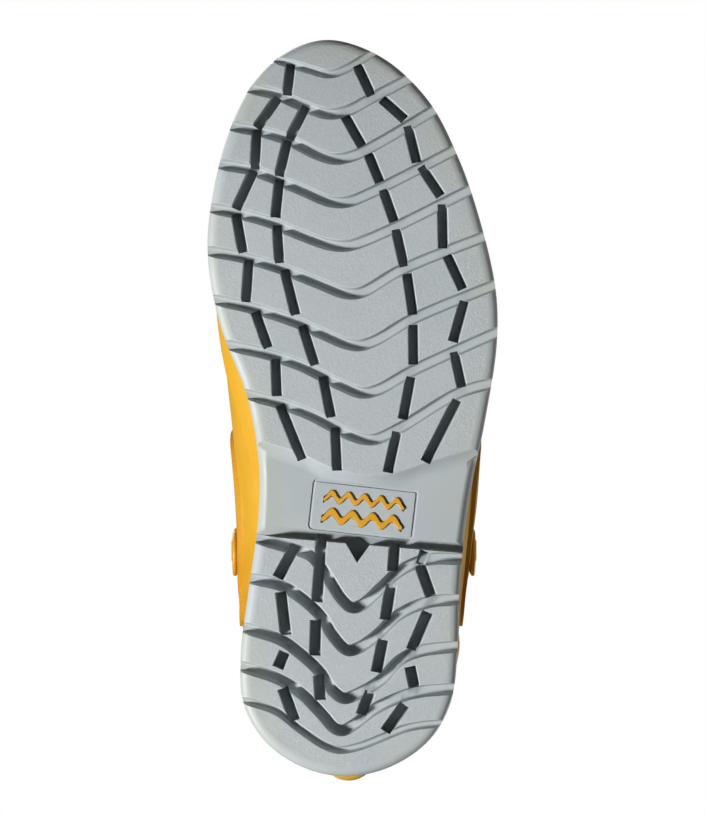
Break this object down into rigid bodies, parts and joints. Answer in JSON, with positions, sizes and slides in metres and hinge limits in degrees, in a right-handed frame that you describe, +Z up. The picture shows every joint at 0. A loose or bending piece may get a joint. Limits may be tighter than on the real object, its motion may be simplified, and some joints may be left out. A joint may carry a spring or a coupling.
{
  "type": "deck boot",
  "caption": "Left rubber deck boot with a lugged, siped outsole, yellow upper and leg, fabric lining, lift-out footbed and swinging pull loops.",
  "frame": {"origin": "on the floor, on the tread pad under the middle of the heel", "axes": "+Z up, +Y towards the toe, +X towards the medial (big toe) side of this left boot"},
  "size_m": [0.1177, 0.3052, 0.3318],
  "materials": {
    "sole_rubber": "moulded, finely stippled pads and smooth grooves",
    "mark_rubber": "satin inlay",
    "upper_rubber": "satin dipped rubber",
    "lining_cloth": "knitted",
    "board": "pressed fibre",
    "foam": "closed-cell foam",
    "footbed_cloth": "brushed cloth",
    "steel": "rolled"
  },
  "bodies": {
    "boot": {"outsole": "sole_rubber", "badge_wave_front": "mark_rubber", "badge_wave_rear": "mark_rubber", "heel_filler": "foam", "forefoot_filler": "foam", "shank": "steel", "foot_shell": "upper_rubber", "leg_shell": "upper_rubber", "foxing_strip": "upper_rubber", "toe_cap": "upper_rubber", "heel_counter": "upper_rubber", "back_strip": "upper_rubber", "instep_patch": "upper_rubber", "ankle_patch_medial": "upper_rubber", "ankle_patch_lateral": "upper_rubber", "top_band": "upper_rubber", "top_binding": "upper_rubber", "lining": "lining_cloth", "insole_board": "board", "kick_off_ledge": "upper_rubber", "loop_keeper_medial": "upper_rubber", "loop_keeper_lateral": "upper_rubber"},
    "footbed": {"footbed_foam": "foam", "footbed_cover": "footbed_cloth"},
    "loop_medial": {"pull_loop_medial": "upper_rubber"},
    "loop_lateral": {"pull_loop_lateral": "upper_rubber"}
  },
  "joints": [
    {"name": "footbed_lift", "type": "hinge", "parent": "boot", "child": "footbed", "pos_m": [0, 0.231, 0.0236], "axis": [-1, 0, 0], "range_deg": [0, 12]},
    {"name": "loop_swing_medial", "type": "hinge", "parent": "boot", "child": "loop_medial", "pos_m": [0.05239, 0.0365, 0.294], "axis": [0, -1, 0], "range_deg": [0, 165]},
    {"name": "loop_swing_lateral", "type": "hinge", "parent": "boot", "child": "loop_lateral", "pos_m": [-0.05887, 0.0365, 0.294], "axis": [0, 1, 0], "range_deg": [0, 165]}
  ]
}
